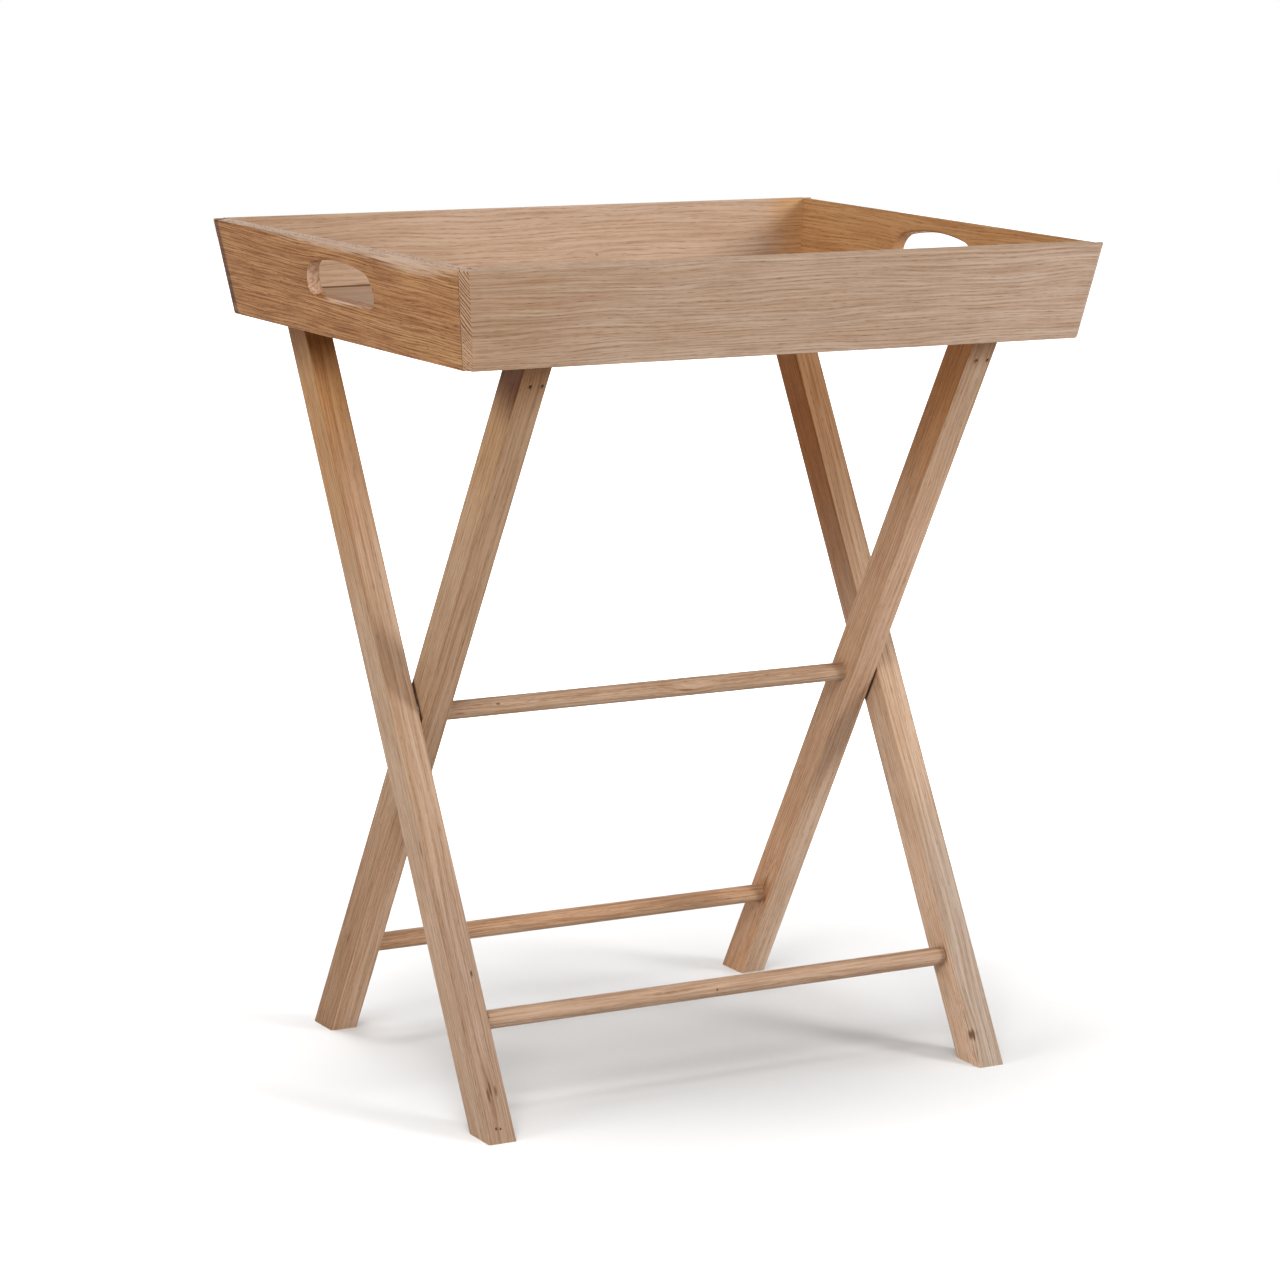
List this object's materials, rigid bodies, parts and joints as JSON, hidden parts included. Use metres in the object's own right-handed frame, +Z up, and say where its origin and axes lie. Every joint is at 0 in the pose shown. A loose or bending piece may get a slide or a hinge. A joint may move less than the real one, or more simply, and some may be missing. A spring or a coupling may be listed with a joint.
{
  "type": "butlers tray table",
  "caption": "Wooden tray table: a lift-off tray with leaning sides and hand holes, resting on a folding stand of crossed legs joined by round rungs.",
  "frame": {"origin": "on the floor, under the middle of the table", "axes": "+X along the tray's length to the right, -Y to the front, +Z up"},
  "size_m": [0.6056, 0.4766, 0.719],
  "materials": {
    "side_oak": "matte",
    "end_oak": "matte",
    "floor_oak": "matte",
    "bearer_oak": "matte",
    "leg_oak": "matte",
    "rung_oak": "matte",
    "rail_oak": "matte",
    "nail_steel": "satin",
    "spacer_nylon": "matte"
  },
  "bodies": {
    "outer_frame": {"outer_leg_left": "leg_oak", "outer_leg_right": "leg_oak", "outer_lower_rung": "rung_oak", "outer_top_rail": "rail_oak", "outer_rail_nails": "nail_steel", "pivot_rung": "rung_oak", "pivot_spacer_left": "spacer_nylon", "pivot_spacer_right": "spacer_nylon"},
    "inner_frame": {"inner_leg_left": "leg_oak", "inner_leg_right": "leg_oak", "inner_lower_rung": "rung_oak", "inner_top_rail": "rail_oak", "inner_rail_nails": "nail_steel"},
    "tray": {"tray_front_board": "side_oak", "tray_back_board": "side_oak", "tray_left_end": "end_oak", "tray_right_end": "end_oak", "tray_floor_panel": "floor_oak", "front_floor_bearer": "bearer_oak", "back_floor_bearer": "bearer_oak", "left_floor_bearer": "bearer_oak", "right_floor_bearer": "bearer_oak"}
  },
  "joints": [
    {"name": "fold", "type": "hinge", "parent": "outer_frame", "child": "inner_frame", "pos_m": [0, 0, 0.3185], "axis": [-1, 0, 0], "range_deg": [0, 50]},
    {"name": "tray_lift", "type": "slide", "parent": "outer_frame", "child": "tray", "axis": [0, 0, 1], "range_m": [0, 0.27]}
  ],
  "couplings": [
    {"joint": "tray_lift", "follows": "fold", "m_per_rad": 0.3}
  ]
}
